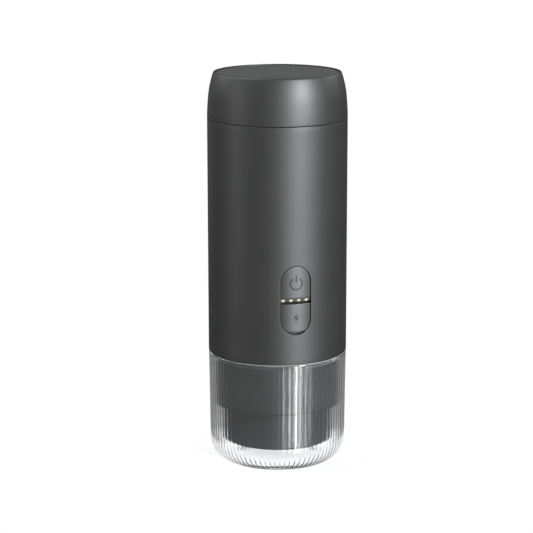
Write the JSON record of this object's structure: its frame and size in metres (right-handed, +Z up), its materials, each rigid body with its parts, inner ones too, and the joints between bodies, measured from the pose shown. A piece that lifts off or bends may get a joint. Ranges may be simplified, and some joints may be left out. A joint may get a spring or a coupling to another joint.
{
  "type": "portable espresso maker",
  "caption": "Cylindrical battery espresso maker with a screw lid over its water tank, a front panel, and a brewing bowl that hangs in a clear fluted cup.",
  "frame": {"origin": "middle of the cup's underside, where the maker stands on a table", "axes": "+Z up along the maker, the front panel with the power button faces -Y"},
  "size_m": [0.071, 0.071, 0.202],
  "materials": {
    "housing": "satin dark grey anodised",
    "lid_top": "matt dark grey, turned",
    "clear": "clear",
    "lens": "smoked clear",
    "black_plastic": "fine moulded grain",
    "bowl_plastic": "semi-gloss",
    "silicone": "matt",
    "steel": "satin",
    "brass": "machined",
    "cast_alloy": "as cast",
    "cell_wrap": "shrink-wrapped cell",
    "board": "solder mask",
    "lamp": "lamp resin",
    "wire": "wire insulation"
  },
  "bodies": {
    "cup": {"cup": "clear"},
    "lid_gasket": {"lid_gasket": "silicone"},
    "lid": {"lid_shell": "housing", "lid_liner": "black_plastic", "lid_disc": "lid_top", "vent_valve": "silicone"},
    "coffee_basket": {"coffee_basket": "steel", "basket_screen": "steel"},
    "brew_bowl": {"brew_bowl": "bowl_plastic"},
    "power_button": {"power_button": "housing"},
    "usb_cover": {"usb_cover": "housing"},
    "drive_gear": {"drive_gear": "brass", "motor_shaft": "steel"},
    "idler_gear": {"idler_gear": "brass"},
    "machine": {"outer_shell": "housing", "light_bar": "lens", "base_cover": "black_plastic", "group_head": "black_plastic", "lower_tray": "black_plastic", "upper_tray": "black_plastic", "tank_neck": "black_plastic", "panel_frame": "black_plastic", "motor_end_cap": "black_plastic", "heater_standoffs": "black_plastic", "board_parts": "black_plastic", "tactile_switch": "black_plastic", "cup_ring": "silicone", "outlet_tube": "silicone", "group_gasket": "silicone", "inlet_tube": "silicone", "tank_seal": "silicone", "shaft_seal": "silicone", "shower_screen": "steel", "shower_screw": "steel", "water_tank": "steel", "idler_pin": "steel", "motor_can": "steel", "pump_screws": "steel", "post_screws": "steel", "board_screws": "steel", "cover_pin": "steel", "heating_element": "steel", "usb_socket": "steel", "tray_posts": "steel", "tank_outlet": "brass", "motor_terminals": "brass", "battery_straps": "brass", "pump_body": "cast_alloy", "pump_cover": "cast_alloy", "heater_plate": "cast_alloy", "temperature_sensor": "cast_alloy", "battery_cell_1": "cell_wrap", "battery_cell_2": "cell_wrap", "battery_cell_3": "cell_wrap", "main_board": "board", "led_chips": "lamp", "motor_leads": "wire", "heater_leads": "wire", "battery_leads": "wire"}
  },
  "joints": [
    {"name": "lift_off_cup", "type": "slide", "parent": "cup", "child": "machine", "axis": [0, 0, 1], "range_m": [0, 0.06]},
    {"name": "lid_rise", "type": "slide", "parent": "machine", "child": "lid_gasket", "axis": [0, 0, 1], "range_m": [0, 0.012]},
    {"name": "lid_turn", "type": "hinge", "parent": "lid_gasket", "child": "lid", "pos_m": [0, 0, 0.19], "axis": [0, 0, 1], "range_deg": [0, 720]},
    {"name": "bowl_drop", "type": "slide", "parent": "machine", "child": "coffee_basket", "axis": [0, 0, -1], "range_m": [0, 0.0055]},
    {"name": "bowl_turn", "type": "hinge", "parent": "coffee_basket", "child": "brew_bowl", "pos_m": [0, 0, 0.03], "axis": [0, 0, -1], "range_deg": [0, 330]},
    {"name": "power_press", "type": "slide", "parent": "machine", "child": "power_button", "axis": [0, 1, 0], "range_m": [0, 0.0006], "stiffness_N_per_m": 900},
    {"name": "cover_swing", "type": "hinge", "parent": "machine", "child": "usb_cover", "pos_m": [0, -0.0336, 0.089], "axis": [-1, 0, 0], "range_deg": [0, 95]},
    {"name": "pump_drive", "type": "hinge", "parent": "machine", "child": "drive_gear", "pos_m": [-0.006, -0.004, 0.073], "axis": [0, 0, 1], "continuous": true},
    {"name": "pump_idler", "type": "hinge", "parent": "machine", "child": "idler_gear", "pos_m": [0.006, -0.004, 0.073], "axis": [0, 0, 1], "continuous": true}
  ],
  "couplings": [
    {"joint": "lid_rise", "follows": "lid_turn", "m_per_rad": 0.00095493},
    {"joint": "bowl_drop", "follows": "bowl_turn", "m_per_rad": 0.00095493},
    {"joint": "pump_idler", "follows": "pump_drive", "ratio": -1}
  ]
}
